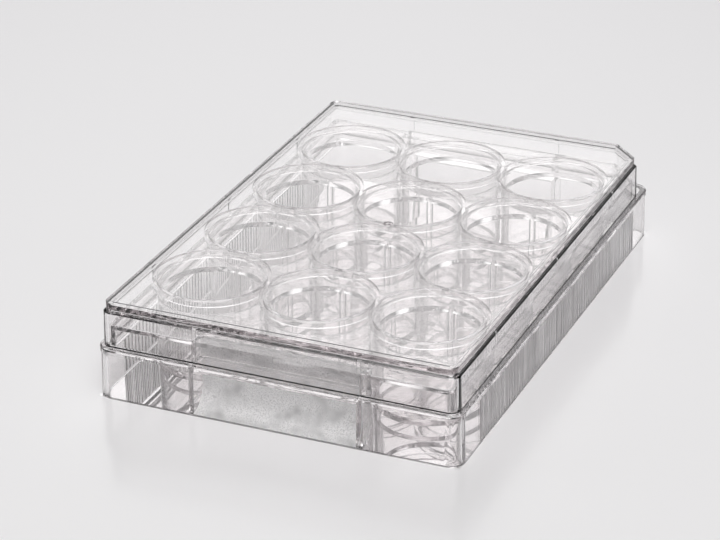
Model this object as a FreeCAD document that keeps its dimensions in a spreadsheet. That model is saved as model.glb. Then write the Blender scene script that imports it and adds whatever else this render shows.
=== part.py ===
import FreeCAD, Part
import math
import os
import Sketcher

# A twelve-well culture plate and its lid, two mouldings in clear polystyrene.
# Millimetres. +Z is up, the origin is the centre of the footprint on the bench,
# X runs along the short side, Y along the long side, rows 1 to 4 lie along +Y.

doc = FreeCAD.newDocument("well_plate")

# ---------------------------------------------------------------- driving sizes
SIZES = [
    ("footprint_width", 85.48, "standard microplate footprint, short side"),
    ("footprint_length", 127.76, "standard microplate footprint, long side"),
    ("corner_round", 3.6, "plan radius of the footprint's corners"),
    ("corner_least", 0.5, "least plan radius of any corner further in"),
    ("corner_cut", 7.2, "leg of the cut corner, as if it ran out to the footprint"),
    ("skirt_wall", 1.3, "plate's lower skirt"),
    ("skirt_lean", 0.25, "how far the skirt leans in up to the flange"),
    ("flange_low", 10.9, "underside of the flange that carries the lid"),
    ("flange_thick", 1.4, "flange"),
    ("flange_edge", 0.3, "broken edge along the flange"),
    ("ledge_thick", 1.2, "inward ledge from the skirt to the upper wall"),
    ("upper_wall", 1.1, "upper wall"),
    ("deck_thick", 1.2, "deck"),
    ("well_pitch", 26.0, "well spacing both ways"),
    ("well_apart", 3.3, "distance between neighbouring bores, at the rim"),
    ("well_wall", 0.8, "well wall"),
    ("rim_high", 20.0, "top of the well rims, the plate's full height"),
    ("rim_stand", 3.0, "how far the rims stand over the deck"),
    ("floor_low", 1.3, "underside of the well floors"),
    ("floor_thick", 1.3, "well floors"),
    ("web_thick", 1.0, "webs that tie neighbouring wells"),
    ("web_bite", 0.3, "how far a web runs into a well's wall"),
    ("recess_width", 38.4, "recessed panel in each short side"),
    ("recess_depth", 5.3, "depth of the panel behind the footprint"),
    ("recess_wall", 1.2, "wall behind and beside the panel"),
    ("recess_foot", 0.4, "height at which the recess runs out in the skirt"),
    ("recess_lip", 1.0, "deck left over the recess"),
    ("lid_inset", 1.0, "lid skirt's outer face, in from the footprint"),
    ("lid_wall", 1.1, "lid skirt"),
    ("lid_lean", 0.2, "how far the lid skirt leans in"),
    ("lid_play", 0.5, "clearance between the lid's skirt and the upper wall inside it"),
    ("lid_gap", 0.7, "clearance between the well rims and the lid's top sheet"),
    ("lid_sheet", 1.2, "lid's top sheet"),
    ("lid_step", 0.7, "height of the step inside the lid's edge"),
    ("shoulder_drop", 1.0, "how far the lid's shoulder lies under its top sheet's face"),
    ("shoulder_edge", 0.6, "broken edge along the lid's shoulder"),
    ("ridge_inset", 1.8, "stacking ridge's outer face, in from the footprint"),
    ("ridge_wide", 1.1, "stacking ridge"),
    ("ridge_rise", 0.7, "height of the stacking ridge over the top sheet"),
    ("ring_wall", 0.8, "rings under the lid"),
    ("ring_gap", 0.25, "clearance between a ring and the well rim inside it"),
    ("ring_drop", 1.6, "depth of the rings"),
    ("gusset_thick", 1.0, "gussets inside the lid's skirt"),
    ("gusset_play", 0.1, "clearance between a gusset and the upper wall"),
    ("gusset_lift", 3.2, "height of a gusset's point over the lid's foot"),
    ("gate_bore", 2.2, "dimple round the moulding gate"),
    ("gate_stub", 1.0, "gate stub in the dimple"),
    ("gate_sink", 0.35, "depth of the dimple"),
]

ROW_PLACES = (-1.5, -0.5, 0.5, 1.5)
COLUMN_PLACES = (-1, 0, 1)
GUSSET_ROWS = (-1.5, 0, 1.5)
MITRE = 2 - math.sqrt(2)
CLOSE = 0.01

# What seats on, fits round or follows another form takes its size from it.
FOLLOWING = [
    ("flange_high", "flange_low + flange_thick", "top of the flange"),
    ("deck_high", "rim_high - rim_stand", "top of the deck between the wells"),
    ("well_bore", "well_pitch - well_apart", "well's inner diameter at the rim"),
    ("upper_inset", "lid_inset + lid_wall + lid_play", "upper wall, in from the footprint"),
    ("lid_under", "rim_high + lid_gap", "underside of the lid's top sheet"),
    ("lid_top", "lid_under + lid_sheet", "top of the lid's sheet"),
    ("shoulder_high", "lid_top - shoulder_drop", "top of the lid's shoulder"),
    ("ridge_high", "lid_top + ridge_rise", "top of the stacking ridge"),
    ("step_under", "lid_under - lid_step", "underside of the step inside the lid's edge"),
    ("ring_bore", "well_bore + 2 * well_wall + 2 * ring_gap", "ring's inner diameter"),
]

sheet = doc.addObject("Spreadsheet::Sheet", "sizes")
for line, (alias, value, note) in enumerate(SIZES + FOLLOWING, start=1):
    sheet.setAlias("A%d" % line, alias)
    sheet.set("A%d" % line, "=" + value if isinstance(value, str) else str(value))
    sheet.set("B%d" % line, note)
doc.recompute()


def formula(text):
    """Put the sheet's name before every alias in a formula."""
    words = {alias for alias, value, note in SIZES + FOLLOWING}
    out, word = "", ""
    for letter in text + " ":
        if letter.isalnum() or letter == "_":
            word += letter
            continue
        out += "sizes." + word if word in words else word
        out += letter
        word = ""
    return out.strip()


def number(text):
    """A formula's present value."""
    return float(sheet.evalExpression(formula(text)))


# ---------------------------------------------------------------- sketches
def start_body(label):
    body = doc.addObject("PartDesign::Body", label)
    body.Label = label
    return body


def origin_feature(body, role):
    return [part for part in body.Origin.OriginFeatures if part.Role == role][0]


def sketch_on(body, name, plane, offset="0"):
    """A sketch on one of the body's own origin planes, moved off it by a formula."""
    sketch = body.newObject("Sketcher::SketchObject", name)
    sketch.AttachmentSupport = [(origin_feature(body, plane), "")]
    sketch.MapMode = "FlatFace"
    if offset != "0":
        sketch.setExpression("AttachmentOffset.Base.z", formula(offset))
    return sketch


def bind(sketch, kind, places, name, size):
    """A named constraint whose value follows the sheet."""
    index = sketch.addConstraint(Sketcher.Constraint(kind, *places, number(size)))
    sketch.renameConstraint(index, name)
    sketch.setExpression("Constraints." + name, formula(size))


def place(sketch, item, end, name, along_x, along_y):
    """Tie a point to the origin by two formulas, either of which may be negative or nothing."""
    for axis, size, on_axis in (("X", along_x, -2), ("Y", along_y, -1)):
        value = number(size)
        if abs(value) < 1e-9:
            sketch.addConstraint(Sketcher.Constraint("PointOnObject", item, end, on_axis))
        elif value > 0:
            bind(sketch, "Distance" + axis, (-1, 1, item, end), name + "_" + axis, size)
        else:
            bind(sketch, "Distance" + axis, (item, end, -1, 1), name + "_" + axis, "-(" + size + ")")


def closed_loop(sketch, name, corners):
    """Straight lines through corners that are each given by two formulas."""
    points = [FreeCAD.Vector(number(across), number(up), 0) for across, up in corners]
    lines = []
    for start, end in zip(points, points[1:] + points[:1]):
        lines.append(sketch.addGeometry(Part.LineSegment(start, end)))
    for before, after in zip(lines, lines[1:] + lines[:1]):
        sketch.addConstraint(Sketcher.Constraint("Coincident", before, 2, after, 1))
    for index, (line, (across, up)) in enumerate(zip(lines, corners)):
        place(sketch, line, 1, "%s_%d" % (name, index), across, up)
    return lines


def rectangle(sketch, name, left, right, low, high):
    closed_loop(sketch, name, [(left, low), (right, low), (right, high), (left, high)])


def outline(sketch, name, inset, cut_corner):
    """The plate's rounded outline set in by a formula; one corner may be cut at 45 degrees."""
    half_x = "footprint_width / 2 - (%s)" % inset
    half_y = "footprint_length / 2 - (%s)" % inset
    radius = "max(corner_round - (%s); corner_least)" % inset
    leg = "corner_cut - %.6f * (%s)" % (MITRE, inset)
    x, y, r, c = number(half_x), number(half_y), number(radius), number(leg)
    top_end = c if cut_corner else r

    def line(x1, y1, x2, y2):
        return sketch.addGeometry(Part.LineSegment(FreeCAD.Vector(x1, y1, 0), FreeCAD.Vector(x2, y2, 0)))

    def arc(cx, cy, start):
        circle = Part.Circle(FreeCAD.Vector(cx, cy, 0), FreeCAD.Vector(0, 0, 1), r)
        begin = math.radians(start)
        return sketch.addGeometry(Part.ArcOfCircle(circle, begin, begin + math.pi / 2))

    front = line(-x + r, -y, x - r, -y)
    front_right = arc(x - r, -y + r, 270)
    right = line(x, -y + r, x, y - top_end)
    if cut_corner:
        back_right = line(x, y - c, x - c, y)
    else:
        back_right = arc(x - r, y - r, 0)
    back = line(x - top_end, y, -x + r, y)
    back_left = arc(-x + r, y - r, 90)
    left = line(-x, y - r, -x, -y + r)
    front_left = arc(-x + r, -y + r, 180)

    for item in (front, back):
        sketch.addConstraint(Sketcher.Constraint("Horizontal", item))
    for item in (right, left):
        sketch.addConstraint(Sketcher.Constraint("Vertical", item))
    round_trip = [front, front_right, right, back_right, back, back_left, left, front_left, front]
    for before, after in zip(round_trip, round_trip[1:]):
        sharp = cut_corner and back_right in (before, after)
        kind = "Coincident" if sharp else "Tangent"
        sketch.addConstraint(Sketcher.Constraint(kind, before, 2, after, 1))
    arcs = [front_right, back_left, front_left]
    if not cut_corner:
        arcs.append(back_right)
    for item in arcs[1:]:
        sketch.addConstraint(Sketcher.Constraint("Equal", arcs[0], item))
    bind(sketch, "Radius", (arcs[0],), name + "_radius", radius)
    bind(sketch, "DistanceX", (-1, 1, right, 1), name + "_right", half_x)
    bind(sketch, "DistanceX", (left, 1, -1, 1), name + "_left", half_x)
    bind(sketch, "DistanceY", (-1, 1, back, 1), name + "_back", half_y)
    bind(sketch, "DistanceY", (front, 1, -1, 1), name + "_front", half_y)
    if cut_corner:
        bind(sketch, "DistanceX", (back_right, 2, back_right, 1), name + "_leg_x", leg)
        bind(sketch, "DistanceY", (back_right, 1, back_right, 2), name + "_leg_y", leg)


def circles(sketch, name, diameter, spots):
    """Equal circles at spots that are counted in well pitches."""
    first = None
    for index, (column, row) in enumerate(spots):
        across = "%s * well_pitch" % column
        along = "%s * well_pitch" % row
        centre = FreeCAD.Vector(number(across), number(along), 0)
        circle = Part.Circle(centre, FreeCAD.Vector(0, 0, 1), number(diameter) / 2)
        item = sketch.addGeometry(circle)
        place(sketch, item, 3, "%s_%d" % (name, index), across, along)
        if first is None:
            first = item
            bind(sketch, "Diameter", (item,), name + "_diameter", diameter)
        else:
            sketch.addConstraint(Sketcher.Constraint("Equal", first, item))


# ---------------------------------------------------------------- features
def pad(body, name, sketch, length, taper=None, both_ways=False, down=False):
    feature = body.newObject("PartDesign::Pad", name)
    feature.Profile = sketch
    feature.setExpression("Length", formula(length))
    if taper:
        feature.setExpression("TaperAngle", formula(taper))
    feature.Midplane = both_ways
    feature.Reversed = down
    sketch.Visibility = False
    doc.recompute()
    return feature


def pocket(body, name, sketch, length, taper=None, both_ways=False, up=False):
    """Cut along the sketch's own -Z, or along +Z with up."""
    feature = body.newObject("PartDesign::Pocket", name)
    feature.Profile = sketch
    feature.setExpression("Length", formula(length))
    if taper:
        feature.setExpression("TaperAngle", formula(taper))
    feature.Midplane = both_ways
    feature.Reversed = up
    sketch.Visibility = False
    doc.recompute()
    return feature


def edges_where(feature, wanted):
    """Names of the edges whose two ends and middle all pass a test."""
    names = []
    for index, edge in enumerate(feature.Shape.Edges, start=1):
        first, last = edge.ParameterRange
        spots = [edge.valueAt(first), edge.valueAt((first + last) / 2), edge.valueAt(last)]
        if all(wanted(spot) for spot in spots):
            names.append("Edge%d" % index)
    return names


def mirrored(body, name, originals, plane):
    feature = body.newObject("PartDesign::Mirrored", name)
    feature.Originals = originals
    feature.MirrorPlane = (origin_feature(body, plane), [""])
    body.Tip = feature
    doc.recompute()
    return feature


def dress(body, kind, name, base, edges, prop, size):
    feature = body.newObject("PartDesign::" + kind, name)
    feature.Base = (base, edges)
    feature.setExpression(prop, formula(size))
    doc.recompute()
    return feature


WELLS = [(column, row) for row in ROW_PLACES for column in COLUMN_PLACES]


# ---------------------------------------------------------------- plate
def plate_shell(body):
    """Skirt, flange and upper wall as one stepped block, hollowed from below."""
    skirt = sketch_on(body, "SkirtOutline", "XY_Plane")
    outline(skirt, "skirt", "0", False)
    pad(body, "SkirtBlock", skirt, "flange_low", taper="-atan(skirt_lean / flange_low)")

    flange = sketch_on(body, "FlangeOutline", "XY_Plane", "flange_low")
    outline(flange, "flange", "0", False)
    block = pad(body, "Flange", flange, "flange_high - flange_low")

    half_x = number("footprint_width / 2 - skirt_lean / 2")
    half_y = number("footprint_length / 2 - skirt_lean / 2")
    half_r = number("corner_round")

    def on_rim(spot):
        beyond = abs(spot.x) > half_x or abs(spot.y) > half_y
        in_corner = abs(spot.x) > half_x - half_r and abs(spot.y) > half_y - half_r
        return (beyond or in_corner) and spot.z > number("flange_high") - CLOSE
    dress(body, "Chamfer", "FlangeEdge", block, edges_where(block, on_rim), "Size", "flange_edge")

    upper = sketch_on(body, "UpperOutline", "XY_Plane", "flange_high")
    outline(upper, "upper", "upper_inset", True)
    pad(body, "UpperBlock", upper, "deck_high - flange_high")

    lower = sketch_on(body, "LowerCavityOutline", "XY_Plane")
    outline(lower, "lower_cavity", "skirt_wall", False)
    pocket(body, "LowerCavity", lower, "flange_high - ledge_thick",
           taper="-atan(skirt_lean / flange_low)", up=True)

    inner = sketch_on(body, "UpperCavityOutline", "XY_Plane")
    outline(inner, "upper_cavity", "upper_inset + upper_wall", True)
    pocket(body, "UpperCavity", inner, "deck_high - deck_thick", up=True)


def cove_profile(sketch, radius, low, top, outer):
    """Side view of a space or wall whose back turns out at the foot in a round cove."""
    centre_y = "-footprint_length / 2"
    centre_z = "recess_foot + recess_depth"
    r, cy, cz = number(radius), number(centre_y), number(centre_z)
    begin = math.asin((number(low) - cz) / r)
    foot = FreeCAD.Vector(cy + r * math.cos(begin), number(low), 0)
    turn = FreeCAD.Vector(cy + r, cz, 0)
    roof = FreeCAD.Vector(cy + r, number(top), 0)
    outer_roof = FreeCAD.Vector(number(outer), number(top), 0)
    outer_foot = FreeCAD.Vector(number(outer), number(low), 0)
    circle = Part.Circle(FreeCAD.Vector(cy, cz, 0), FreeCAD.Vector(0, 0, 1), r)
    arc = sketch.addGeometry(Part.ArcOfCircle(circle, begin, 0))
    panel = sketch.addGeometry(Part.LineSegment(turn, roof))
    ceiling = sketch.addGeometry(Part.LineSegment(roof, outer_roof))
    face = sketch.addGeometry(Part.LineSegment(outer_roof, outer_foot))
    floor = sketch.addGeometry(Part.LineSegment(outer_foot, foot))
    runs_out = low != "0"
    joins = [("Tangent", arc, 2, panel, 1), ("Coincident", panel, 2, ceiling, 1),
             ("Coincident", ceiling, 2, face, 1), ("Coincident", face, 2, floor, 1),
             ("Tangent" if runs_out else "Coincident", floor, 2, arc, 1)]
    for join in joins:
        sketch.addConstraint(Sketcher.Constraint(*join))
    for item in (ceiling, floor):
        sketch.addConstraint(Sketcher.Constraint("Horizontal", item))
    for item in (panel, face):
        sketch.addConstraint(Sketcher.Constraint("Vertical", item))
    place(sketch, arc, 3, "centre", centre_y, centre_z)
    bind(sketch, "Radius", (arc,), "radius", radius)
    bind(sketch, "DistanceY", (-1, 1, ceiling, 1), "top", top)
    bind(sketch, "DistanceX", (face, 1, -1, 1), "outer", "-(" + outer + ")")
    if not runs_out:
        sketch.addConstraint(Sketcher.Constraint("PointOnObject", floor, 1, -1))


def plate_recesses(body):
    """A backing wall in the front, the two spaces cut into it, and the same at the back.

    The lower space ends in a cove that runs out in the skirt near its foot. The flange
    crosses the recess as a shelf, and the deck closes the upper space.
    """
    low_backing = sketch_on(body, "LowerBackingProfile", "YZ_Plane")
    cove_profile(low_backing, "recess_depth + recess_wall", "0", "flange_high - ledge_thick / 2",
                 "-(footprint_length / 2 - skirt_lean - skirt_wall / 2)")
    wide = "recess_width + 2 * recess_wall"
    low_wall = pad(body, "LowerBacking", low_backing, wide, both_ways=True)

    high_backing = sketch_on(body, "UpperBackingProfile", "YZ_Plane")
    rectangle(high_backing, "upper_backing",
              "-(footprint_length / 2 - upper_inset - upper_wall / 2)",
              "-(footprint_length / 2 - recess_depth - recess_wall)",
              "flange_high - ledge_thick / 2", "deck_high - deck_thick / 2")
    high_wall = pad(body, "UpperBacking", high_backing, wide, both_ways=True)
    mirrored(body, "BackingPair", [low_wall, high_wall], "XZ_Plane")

    lower = sketch_on(body, "LowerRecessProfile", "YZ_Plane")
    cove_profile(lower, "recess_depth", "recess_foot", "flange_low",
                 "-(footprint_length / 2 + recess_wall)")
    low_cut = pocket(body, "LowerRecess", lower, "recess_width", both_ways=True)

    upper = sketch_on(body, "UpperRecessProfile", "YZ_Plane")
    rectangle(upper, "upper_recess", "-(footprint_length / 2 + recess_wall)",
              "-(footprint_length / 2 - recess_depth)", "flange_high", "deck_high - recess_lip")
    high_cut = pocket(body, "UpperRecess", upper, "recess_width", both_ways=True)
    mirrored(body, "RecessPair", [low_cut, high_cut], "XZ_Plane")


def plate_wells(body):
    """Twelve cups through the deck, tied to their neighbours by webs, then bored."""
    cups = sketch_on(body, "CupCircles", "XY_Plane", "floor_low")
    circles(cups, "cup", "well_bore + 2 * well_wall", WELLS)
    pad(body, "Cups", cups, "rim_high - floor_low")

    webs = sketch_on(body, "WebPlan", "XY_Plane", "floor_low")
    half_gap = "(well_pitch / 2 - well_bore / 2 - well_wall + web_bite)"
    for row in ROW_PLACES[:-1]:
        for column in COLUMN_PLACES:
            x, y = "%s * well_pitch" % column, "%s * well_pitch" % (row + 0.5)
            rectangle(webs, "along_%d_%d" % (column + 1, row + 1.5), x + " - web_thick / 2",
                      x + " + web_thick / 2", y + " - " + half_gap, y + " + " + half_gap)
    for row in ROW_PLACES:
        for column in COLUMN_PLACES[:-1]:
            x, y = "%s * well_pitch" % (column + 0.5), "%s * well_pitch" % row
            rectangle(webs, "across_%d_%d" % (column + 1, row + 1.5), x + " - " + half_gap,
                      x + " + " + half_gap, y + " - web_thick / 2", y + " + web_thick / 2")
    pad(body, "Webs", webs, "deck_high - deck_thick / 2 - floor_low")

    bores = sketch_on(body, "BoreCircles", "XY_Plane", "rim_high")
    circles(bores, "bore", "well_bore", WELLS)
    pocket(body, "Bores", bores, "rim_high - floor_low - floor_thick")


def build_plate():
    body = start_body("plate")
    plate_shell(body)
    plate_recesses(body)
    plate_wells(body)
    return body


# ---------------------------------------------------------------- lid
def lid_shell(body):
    """Skirt with a rounded shoulder, top sheet and stacking ridge, hollowed in two steps."""
    skirt = sketch_on(body, "SkirtOutline", "XY_Plane", "flange_high")
    outline(skirt, "skirt", "lid_inset", True)
    tall = "(shoulder_high - flange_high)"
    block = pad(body, "SkirtBlock", skirt, tall, taper="-atan(lid_lean / %s)" % tall)

    def on_shoulder(spot):
        return spot.z > number("shoulder_high") - CLOSE
    dress(body, "Chamfer", "Shoulder", block, edges_where(block, on_shoulder), "Size", "shoulder_edge")

    ridge = sketch_on(body, "RidgeOutline", "XY_Plane", "shoulder_high")
    outline(ridge, "ridge", "ridge_inset", True)
    pad(body, "RidgeBlock", ridge, "shoulder_drop + ridge_rise")

    tray = sketch_on(body, "TrayOutline", "XY_Plane", "ridge_high")
    outline(tray, "tray", "ridge_inset + ridge_wide", True)
    pocket(body, "Tray", tray, "ridge_rise")

    cavity = sketch_on(body, "CavityOutline", "XY_Plane", "flange_high")
    outline(cavity, "cavity", "lid_inset + lid_wall", True)
    pocket(body, "Cavity", cavity, "step_under - flange_high", up=True)

    inner = sketch_on(body, "InnerCavityOutline", "XY_Plane", "flange_high")
    outline(inner, "inner_cavity", "ridge_inset + ridge_wide", True)
    pocket(body, "InnerCavity", inner, "lid_under - flange_high", up=True)


def lid_rings(body):
    """A ring round each well rim. Neighbours touch, so they are drawn in two sets like the
    squares of a chessboard."""
    for shade, name in ((0, "Even"), (1, "Odd")):
        spots = [spot for index, spot in enumerate(WELLS) if index % 2 == shade]
        rings = sketch_on(body, name + "RingCircles", "XY_Plane", "lid_under - ring_drop")
        circles(rings, "outer", "ring_bore + 2 * ring_wall", spots)
        circles(rings, "inner", "ring_bore", spots)
        pad(body, name + "Rings", rings, "ring_drop + lid_sheet / 2")


def lid_gussets(body):
    """Small tapered gussets under the shoulder: three on each long side, two on each short."""
    low = "flange_high + gusset_lift"
    half = {"XZ_Plane": "footprint_width / 2", "YZ_Plane": "footprint_length / 2"}
    places = [("XZ_Plane", "-(%s * well_pitch)" % row, "Long%d" % index)
              for index, row in enumerate(GUSSET_ROWS)]
    places += [("YZ_Plane", "%d * recess_width / 2" % side, "Short%d" % (side + 1)) for side in (-1, 1)]
    for plane, offset, name in places:
        profile = sketch_on(body, name + "GussetProfile", plane, offset)
        face = "(%s - lid_inset - lid_wall)" % half[plane]
        root = "(%s - lid_inset - lid_wall / 2)" % half[plane]
        for sign, side in (("", "right"), ("-", "left")):
            closed_loop(profile, side, [
                (sign + root, low),
                (sign + root, "step_under"),
                ("%s(%s - lid_play + gusset_play)" % (sign, face), "step_under"),
                (sign + face, low)])
        pad(body, name + "Gussets", profile, "gusset_thick", both_ways=True)


def lid_gate(body):
    """The mark of the moulding gate: a dimple with a stub, at the middle of the top sheet."""
    dimple = sketch_on(body, "GateDimpleCircle", "XY_Plane", "lid_top")
    circles(dimple, "dimple", "gate_bore", [(0, 0)])
    pocket(body, "GateDimple", dimple, "gate_sink")
    stub = sketch_on(body, "GateStubCircle", "XY_Plane", "lid_under + lid_sheet / 2")
    circles(stub, "stub", "gate_stub", [(0, 0)])
    pad(body, "GateStub", stub, "lid_sheet / 2")


def build_lid():
    body = start_body("lid")
    lid_shell(body)
    lid_rings(body)
    lid_gussets(body)
    lid_gate(body)
    return body


build_plate()
build_lid()

# ---------------------------------------------------------------- write
doc.recompute()
os.makedirs("parts", exist_ok=True)
for body in doc.findObjects("PartDesign::Body"):
    for feature in body.Group:
        if "Invalid" in feature.State or "Error" in feature.State:
            raise RuntimeError("%s: %s" % (feature.Name, feature.State))
    if body.Shape.isNull() or not body.Shape.isValid():
        raise RuntimeError(body.Label + " has no valid shape")
    body.Shape.exportStep("parts/%s.step" % body.Label)
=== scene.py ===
import math

import bmesh
import bpy
from mathutils import Matrix, Vector

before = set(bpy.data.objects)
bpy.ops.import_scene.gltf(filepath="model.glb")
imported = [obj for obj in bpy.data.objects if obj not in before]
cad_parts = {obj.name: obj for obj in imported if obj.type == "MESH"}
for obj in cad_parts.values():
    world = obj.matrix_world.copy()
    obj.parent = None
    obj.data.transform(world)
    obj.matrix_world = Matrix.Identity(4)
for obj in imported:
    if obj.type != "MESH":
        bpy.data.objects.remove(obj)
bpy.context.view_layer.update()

# ------------------------------------------------------------------ the plate
# The plate is one moulding in clear polystyrene, its edges a little rounded by the mould.
# The mould was etched for a writing panel in the front recess, and cut with fine upright
# ribs along both long sides of the skirt. Both are darkened with painted shade in grey.
PLATE_TINT = (0.992, 0.985, 0.986, 1.0)
REFRACTION = 1.59
HAZE_COLOUR, HAZE_DENSITY = (0.60, 0.48, 0.51, 1.0), 7.0
LIGHT_LET_THROUGH = (0.79, 0.784, 0.786, 1.0)
FLOW_WAVES, FLOW_STRENGTH, FLOW_HEIGHT = 55.0, 0.05, 0.0004
GLOSS_CLOUDS = 180.0
GLOSS = (0.0, 1.0, 0.004, 0.016)
SEAM_GAP = 1e-6
FLAT_WITHIN = math.radians(0.5)
EDGE_ROUND = 0.00012
SHARP = math.radians(28)

WORKED_MATT = 0.28
# painted shade: the grey that darkens the plastic along the ribs and over the etched panel
SHADE_GREY = (0.02, 0.02, 0.02, 1.0)
PANEL_HALF = 0.0192
PANEL_FRONT, PANEL_BACK = -0.0637, -0.0560
PANEL_FACING = -0.05
SHELF_LOW, SHELF_HIGH = 0.0104, 0.0124
PANEL_GRAIN, PANEL_SHADE_PATCHES = 3600.0, 260.0
PANEL_TILT = 1.0
# painted shade: grey flecks and clouds over the etched panel, stronger higher up
PANEL_PAINTED_SHADE = (0.40, 0.66, 0.0, 0.42)
PANEL_SHADE_CLOUDS = (0.44, 0.74, 0.0, 0.42)
PANEL_DEPTH = (0.0100, 0.0125, 1.0, 1.7)
PANEL_CHALK = (0.006, 0.013, 0.82, 0.3)

RIB_FACE, RIB_FACING = 0.0421, 0.7
RIB_RUN = 0.1036
RIB_FOOT, RIB_TOP = 0.0005, 0.0108
RIB_PITCH = 0.0016
RIB_TILT = 0.45
RIB_LINE = (0.0, 1.0, 0.03)
RIB_WEAR_AND_SHADE, RIB_DRIFT = 600.0, 1.8
RIB_BEAT = 0.07
# painted shade: how the ribs' beat and unevenness darken the plastic in grey lines
RIB_PAINTED_SHADE = (0.38, 0.66, 0.0, 0.5)


def place(tree, kind, **values):
    """A node with its settings and its sockets, I0, I1 and so on by their number.

    A value that is another node's socket is linked.
    """
    made = tree.nodes.new(kind)
    for name, value in values.items():
        if hasattr(made, name) and not name[0].isupper():
            setattr(made, name, value)
            continue
        numbered = name[0] == "I" and name[1:].isdigit()
        socket = made.inputs[int(name[1:]) if numbered else name]
        if isinstance(value, bpy.types.NodeSocket):
            tree.links.new(value, socket)
        else:
            socket.default_value = value
    return made


def sum_of(tree, operation, *numbers):
    """The result of one sum with numbers or sockets."""
    sockets = {"I%d" % index: number for index, number in enumerate(numbers)}
    return place(tree, "ShaderNodeMath", operation=operation, **sockets).outputs[0]


def all_of(tree, first, *others):
    """The product of masks: 1 where each of them is 1."""
    for other in others:
        first = sum_of(tree, "MULTIPLY", first, other)
    return first


def within(tree, value, low, high):
    """1 where a value lies between two bounds, else 0."""
    return all_of(tree, sum_of(tree, "GREATER_THAN", value, low), sum_of(tree, "LESS_THAN", value, high))


def ramp(tree, value, from_low, from_high, to_low, to_high):
    """A value carried over from one range to another, and held at its ends."""
    made = place(tree, "ShaderNodeMapRange", Value=value)
    made.inputs["From Min"].default_value = from_low
    made.inputs["From Max"].default_value = from_high
    made.inputs["To Min"].default_value = to_low
    made.inputs["To Max"].default_value = to_high
    return made.outputs["Result"]


def combined(tree, operation, first, second):
    """The sum or the product of two vectors."""
    return place(tree, "ShaderNodeVectorMath", operation=operation, I0=first, I1=second).outputs[0]


def tilted(tree, normal, tilt, amount):
    """A normal leaned over by an amount of a vector."""
    tilt = place(tree, "ShaderNodeVectorMath", operation="SCALE", I0=tilt, Scale=amount).outputs[0]
    leaned = combined(tree, "ADD", normal, tilt)
    return place(tree, "ShaderNodeVectorMath", operation="NORMALIZE", I0=leaned).outputs[0]


def ribbed_sides(tree, where, spot, facing, normal):
    """Fine upright ribs along both long sides of the skirt, a little uneven where the mould is worn, and
    darkened in grey lines of painted shade along them.
    """
    outside = sum_of(tree, "GREATER_THAN", sum_of(tree, "ABSOLUTE", spot.outputs["X"]), RIB_FACE)
    run = sum_of(tree, "LESS_THAN", sum_of(tree, "ABSOLUTE", spot.outputs["Y"]), RIB_RUN / 2)
    high = within(tree, spot.outputs["Z"], RIB_FOOT, RIB_TOP)
    sideways = sum_of(tree, "GREATER_THAN", sum_of(tree, "ABSOLUTE", facing.outputs["X"]), RIB_FACING)
    mask = all_of(tree, outside, run, high, sideways)
    wave = sum_of(tree, "SINE", sum_of(tree, "MULTIPLY", spot.outputs["Y"], 2 * math.pi / RIB_PITCH))
    line = combined(tree, "MULTIPLY", where, RIB_LINE)
    wear_and_shade = place(tree, "ShaderNodeTexNoise", Vector=line, Scale=RIB_WEAR_AND_SHADE, Detail=3.0, Roughness=0.6)
    wear_and_shade = wear_and_shade.outputs["Fac"]
    # painted shade: grey lines along the ribs, darkening the plastic's colour
    painted_rib_shade = ramp(tree, sum_of(tree, "MULTIPLY_ADD", wave, RIB_BEAT, wear_and_shade), *RIB_PAINTED_SHADE)
    wave = sum_of(tree, "MULTIPLY", wave, RIB_TILT)
    tilt = sum_of(tree, "MULTIPLY_ADD", sum_of(tree, "SUBTRACT", wear_and_shade, 0.5), RIB_DRIFT, wave)
    tilt = place(tree, "ShaderNodeCombineXYZ", Y=tilt).outputs[0]
    return mask, all_of(tree, mask, painted_rib_shade), tilted(tree, normal, tilt, mask)


def etched_panel(tree, where, spot, facing, normal):
    """The panel that is written on, in the front recess: a sharp grain, chalky at its foot, and darkened
    in grey flecks and clouds of painted shade.
    """
    wide = sum_of(tree, "LESS_THAN", sum_of(tree, "ABSOLUTE", spot.outputs["X"]), PANEL_HALF)
    deep = within(tree, spot.outputs["Y"], PANEL_FRONT, PANEL_BACK)
    off_shelf = sum_of(tree, "SUBTRACT", 1.0, within(tree, spot.outputs["Z"], SHELF_LOW, SHELF_HIGH))
    forward = sum_of(tree, "LESS_THAN", facing.outputs["Y"], PANEL_FACING)
    mask = all_of(tree, wide, deep, off_shelf, forward)
    grain = place(tree, "ShaderNodeTexNoise", Vector=where, Scale=PANEL_GRAIN, Detail=2.0, Roughness=0.6)
    shade_patches = place(tree, "ShaderNodeTexNoise", Vector=where, Scale=PANEL_SHADE_PATCHES, Detail=1.0)
    # painted shade: grey flecks and clouds that darken the panel's colour
    painted_panel_shade = ramp(tree, grain.outputs["Fac"], *PANEL_PAINTED_SHADE)
    painted_panel_shade = sum_of(tree, "MAXIMUM", painted_panel_shade, ramp(tree, shade_patches.outputs["Fac"], *PANEL_SHADE_CLOUDS))
    painted_panel_shade = all_of(tree, painted_panel_shade, ramp(tree, spot.outputs["Z"], *PANEL_DEPTH), mask)
    chalk = all_of(tree, mask, ramp(tree, spot.outputs["Z"], *PANEL_CHALK))
    tilt = combined(tree, "ADD", grain.outputs["Color"], (-0.5, -0.5, -0.5))
    amount = sum_of(tree, "MULTIPLY", mask, PANEL_TILT)
    return mask, painted_panel_shade, chalk, tilted(tree, normal, tilt, amount)


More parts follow.
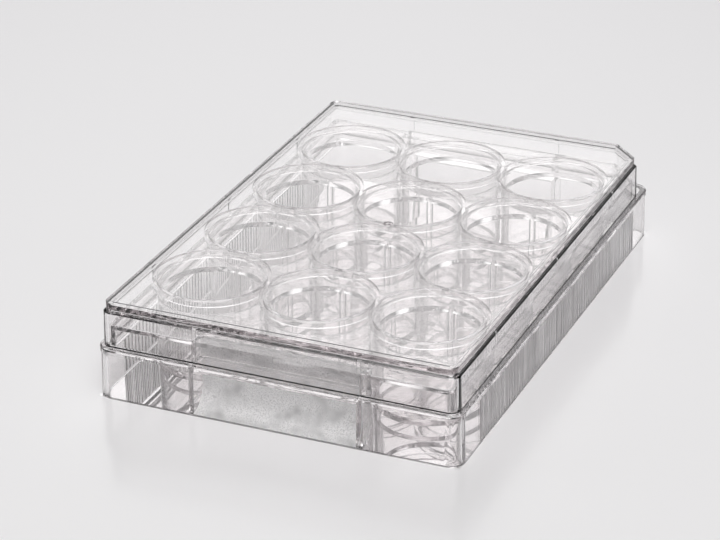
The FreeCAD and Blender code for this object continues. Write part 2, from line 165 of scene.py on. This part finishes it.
def work_plate(tree, where, clear, rough, smooth):
    """Give the plate's clear shader the ribs and the panel that were cut into its mould, and the grey of
    painted shade over both.
    """
    spot = place(tree, "ShaderNodeSeparateXYZ", Vector=where)
    face = place(tree, "ShaderNodeNewGeometry")
    facing = place(tree, "ShaderNodeSeparateXYZ", Vector=face.outputs["Normal"])
    ribbed, painted_rib_shade, smooth = ribbed_sides(tree, where, spot, facing, smooth)
    etched, painted_panel_shade, chalk, smooth = etched_panel(tree, where, spot, facing, smooth)
    # painted shade: grey mixed into the plastic's colour where the rib lines and panel flecks lie
    shade = sum_of(tree, "MAXIMUM", painted_rib_shade, painted_panel_shade)
    shaded = place(tree, "ShaderNodeMix", data_type="RGBA", I0=shade, I6=PLATE_TINT, I7=SHADE_GREY)
    rough = sum_of(tree, "MULTIPLY_ADD", sum_of(tree, "MAXIMUM", ribbed, etched), WORKED_MATT, rough)
    tree.links.new(shaded.outputs[2], clear.inputs["Base Color"])
    tree.links.new(sum_of(tree, "SUBTRACT", 1.0, chalk), clear.inputs["Transmission Weight"])
    tree.links.new(rough, clear.inputs["Roughness"])
    tree.links.new(smooth, clear.inputs["Normal"])


def polystyrene(name, tint, work=None):
    """Clear moulded polystyrene: faint flow waves, clouds in its gloss, a haze in its depth."""
    material = bpy.data.materials.new(name)
    material.use_nodes = True
    tree = material.node_tree
    tree.nodes.clear()
    where = place(tree, "ShaderNodeTexCoord").outputs["Object"]
    flow = place(tree, "ShaderNodeTexNoise", Vector=where, Scale=FLOW_WAVES, Detail=2.0, Roughness=0.4)
    waves = place(tree, "ShaderNodeBump", Height=flow.outputs["Fac"], Strength=FLOW_STRENGTH)
    waves.inputs["Distance"].default_value = FLOW_HEIGHT
    clouds = place(tree, "ShaderNodeTexNoise", Vector=where, Scale=GLOSS_CLOUDS, Detail=4.0, Roughness=0.6)
    rough = ramp(tree, clouds.outputs["Fac"], *GLOSS)
    smooth = waves.outputs["Normal"]
    clear = place(tree, "ShaderNodeBsdfPrincipled", Roughness=rough, Normal=smooth, IOR=REFRACTION)
    clear.inputs["Base Color"].default_value = tint
    clear.inputs["Transmission Weight"].default_value = 1.0
    if work:
        work(tree, where, clear, rough, smooth)
    lit = place(tree, "ShaderNodeBsdfTransparent", Color=LIGHT_LET_THROUGH)
    shadow = place(tree, "ShaderNodeLightPath").outputs["Is Shadow Ray"]
    both = place(tree, "ShaderNodeMixShader", I0=shadow, I1=clear.outputs[0], I2=lit.outputs[0])
    haze = place(tree, "ShaderNodeVolumeAbsorption", Color=HAZE_COLOUR, Density=HAZE_DENSITY)
    place(tree, "ShaderNodeOutputMaterial", Surface=both.outputs[0], Volume=haze.outputs[0])
    return material


def seam_healer():
    """Nodes that drop the imported normals, close the facets' seams and shade every face smooth."""
    group = bpy.data.node_groups.new("heal_seams", "GeometryNodeTree")
    group.interface.new_socket("Geometry", in_out="INPUT", socket_type="NodeSocketGeometry")
    group.interface.new_socket("Geometry", in_out="OUTPUT", socket_type="NodeSocketGeometry")
    begin = place(group, "NodeGroupInput").outputs[0]
    plain = place(group, "GeometryNodeRemoveAttribute", Geometry=begin, Name="custom_normal").outputs[0]
    closed = place(group, "GeometryNodeMergeByDistance", Geometry=plain, Distance=SEAM_GAP).outputs[0]
    round_walls = place(group, "GeometryNodeSetShadeSmooth", Geometry=closed).outputs[0]
    place(group, "NodeGroupOutput", Geometry=round_walls)
    return group


def finish_moulding(node, material):
    """Heal the node's seams, round its edges a little and give it its material."""
    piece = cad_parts[node]
    piece.data.materials.clear()
    piece.data.materials.append(material)
    piece.modifiers.new("Seams", "NODES").node_group = heal_seams
    flat = piece.modifiers.new("Flat", "DECIMATE")
    flat.decimate_type = "DISSOLVE"
    flat.angle_limit = FLAT_WITHIN
    edges = piece.modifiers.new("Edges", "BEVEL")
    edges.width = EDGE_ROUND
    edges.segments = 2
    edges.profile = 0.5
    edges.limit_method = "ANGLE"
    edges.angle_limit = SHARP
    edges.miter_outer = "MITER_SHARP"
    shine = piece.modifiers.new("Shine", "WEIGHTED_NORMAL")
    shine.mode = "FACE_AREA"
    shine.weight = 50


heal_seams = seam_healer()
finish_moulding("plate", polystyrene("plate_polystyrene", PLATE_TINT, work_plate))

# ------------------------------------------------------------------ the lid
# The lid is a second clear moulding that rests on the plate's flange. It has a
# ridge that keeps a stacked plate in place, and rings round the well rims.
LID_TINT = (0.993, 0.987, 0.988, 1.0)

finish_moulding("lid", polystyrene("lid_polystyrene", LID_TINT))

# ------------------------------------------------------------------ the bench
# A plain sheet of satin acrylic. Its colour is painted paler towards the front and darker
# towards the back, as painted light. Where plates have stood it is worn to a polish, but
# not under the thin foot of their recess.
BENCH_HALF = 3.0
FAR_PAINTED_SHADE, NEAR_PAINTED_LIGHT = (0.845, 0.830, 0.848, 1.0), (0.930, 0.918, 0.924, 1.0)
PAINTED_LIGHT_SPAN = (0.4, -0.12, 0.0, 1.0)
SATIN = 0.16
POLISH_TONE, POLISH = (0.885, 0.875, 0.88, 1.0), 0.02
WORN_WIDTH = (0.0427, 0.0417, 0.0, 1.0)
WORN_LENGTH = (0.0638, 0.0628, 0.0, 0.88)
WORN_GLANCE = (0.2, 0.5, 0.0, 1.0)
FOOT_HALF, FOOT_BACK = 0.0195, 0.0600

bench_mesh = bmesh.new()
bmesh.ops.create_grid(bench_mesh, x_segments=1, y_segments=1, size=BENCH_HALF)
bench = bpy.data.objects.new("bench", bpy.data.meshes.new("bench"))
bench_mesh.to_mesh(bench.data)
bench_mesh.free()
bpy.context.scene.collection.objects.link(bench)
acrylic = bpy.data.materials.new("pale_acrylic")
acrylic.use_nodes = True
sheet = acrylic.node_tree
sheet.nodes.clear()
spot = place(sheet, "ShaderNodeSeparateXYZ", Vector=place(sheet, "ShaderNodeTexCoord").outputs["Object"])
across = sum_of(sheet, "ABSOLUTE", spot.outputs["X"])
along = sum_of(sheet, "ABSOLUTE", spot.outputs["Y"])
foot = sum_of(sheet, "LESS_THAN", across, FOOT_HALF)
foot = all_of(sheet, foot, sum_of(sheet, "GREATER_THAN", along, FOOT_BACK))
worn = sum_of(sheet, "SUBTRACT", ramp(sheet, across, *WORN_WIDTH), foot)
worn = sum_of(sheet, "MAXIMUM", worn, 0.0)
glancing = place(sheet, "ShaderNodeLayerWeight", Blend=0.5).outputs["Facing"]
worn = all_of(sheet, worn, ramp(sheet, along, *WORN_LENGTH), ramp(sheet, glancing, *WORN_GLANCE))
# painted light: the sheet's colour runs from darker at the back to paler at the front
painted_front_light = ramp(sheet, spot.outputs["Y"], *PAINTED_LIGHT_SPAN)
painted_light_tone = place(sheet, "ShaderNodeMix", data_type="RGBA", I0=painted_front_light, I6=FAR_PAINTED_SHADE, I7=NEAR_PAINTED_LIGHT)
satin = place(sheet, "ShaderNodeBsdfPrincipled", Roughness=SATIN)
sheet.links.new(painted_light_tone.outputs[2], satin.inputs["Base Color"])
polished = place(sheet, "ShaderNodeBsdfGlossy", Color=POLISH_TONE, Roughness=POLISH)
finish = place(sheet, "ShaderNodeMixShader", I0=worn, I1=satin.outputs[0], I2=polished.outputs[0])
place(sheet, "ShaderNodeOutputMaterial", Surface=finish.outputs[0])
bench.data.materials.append(acrylic)

# ------------------------------------------------------------------ the light
# Eight soft round panels in a dim room, the brightest high in front. Each has its height
# and its turn from the camera's side, then how wide its even middle and its soft edge
# spread, all in degrees, and its strength.
CAMERA_SIDE = math.radians(23.437)
ROOM_GLOW = 0.06
PANELS = [
    ("high_front", 60, 5, 2, 25, 3.8),
    ("overhead", 76, 60, 2, 24, 2.65),
    ("behind", 35, 180, 2, 25, 1.22),
    ("high_behind", 60, 180, 2, 22, 0.65),
    ("left", 26, 255, 2, 22, 0.7),
    ("fill", 24, 15, 5, 50, 0.72),
    ("right", 14, 125, 2, 22, 0.27),
    ("low_behind", 5, 180, 5, 35, 0.25),
]

world = bpy.data.worlds.new("room")
bpy.context.scene.world = world
world.use_nodes = True
room = world.node_tree
room.nodes.clear()
direction = place(room, "ShaderNodeTexCoord").outputs["Generated"]
glow = ROOM_GLOW
for name, height, turn, middle, edge, strength in PANELS:
    rise, bearing = math.radians(height), math.radians(turn) + CAMERA_SIDE
    reach = math.cos(rise)
    towards = (reach * math.sin(bearing), -reach * math.cos(bearing), math.sin(rise))
    aligned = place(room, "ShaderNodeVectorMath", operation="DOT_PRODUCT", I0=direction, I1=towards)
    aligned = aligned.outputs["Value"]
    panel = place(room, "ShaderNodeMapRange", interpolation_type="SMOOTHSTEP", Value=aligned)
    panel.label = name
    panel.inputs["From Min"].default_value = math.cos(math.radians(edge))
    panel.inputs["From Max"].default_value = math.cos(math.radians(middle))
    panel.inputs["To Max"].default_value = strength
    glow = sum_of(room, "ADD", panel.outputs["Result"], glow)
pale = place(room, "ShaderNodeBackground", Color=(1.0, 1.0, 1.0, 1.0), Strength=glow)
place(room, "ShaderNodeOutputWorld", Surface=pale.outputs[0])

# ------------------------------------------------------------------ the camera
# A long lens from the front right, a little above. Light runs far inside the clear walls
# before it comes out again, so its paths may be long.
ELEVATION, ROLL = math.radians(25.862), math.radians(-0.504)
AIM = Vector((-0.00527, -0.00440, 0.0110))
DISTANCE = 0.62987
LENS, SENSOR = 136.41, 36.0
LONG_PATH = 64
LAYERS_SEEN_THROUGH = 48

reach = math.cos(ELEVATION)
back = Vector((math.sin(CAMERA_SIDE) * reach, -math.cos(CAMERA_SIDE) * reach, math.sin(ELEVATION)))
level = (-back).cross(Vector((0, 0, 1))).normalized()
upright = level.cross(-back)
right = level * math.cos(ROLL) + upright * math.sin(ROLL)
up = upright * math.cos(ROLL) - level * math.sin(ROLL)
turned = Matrix((right, up, back)).transposed().to_4x4()
camera = bpy.data.objects.new("camera", bpy.data.cameras.new("camera"))
camera.data.sensor_width = SENSOR
camera.data.lens = LENS
camera.data.clip_start = 0.01
camera.data.clip_end = 50.0
camera.matrix_world = Matrix.Translation(AIM + back * DISTANCE) @ turned
bpy.context.scene.collection.objects.link(camera)
bpy.context.scene.camera = camera

cycles = bpy.context.scene.cycles
cycles.max_bounces = LONG_PATH
cycles.transmission_bounces = LONG_PATH
cycles.glossy_bounces = LONG_PATH
cycles.transparent_max_bounces = LAYERS_SEEN_THROUGH
bpy.context.scene.view_settings.view_transform = "Standard"
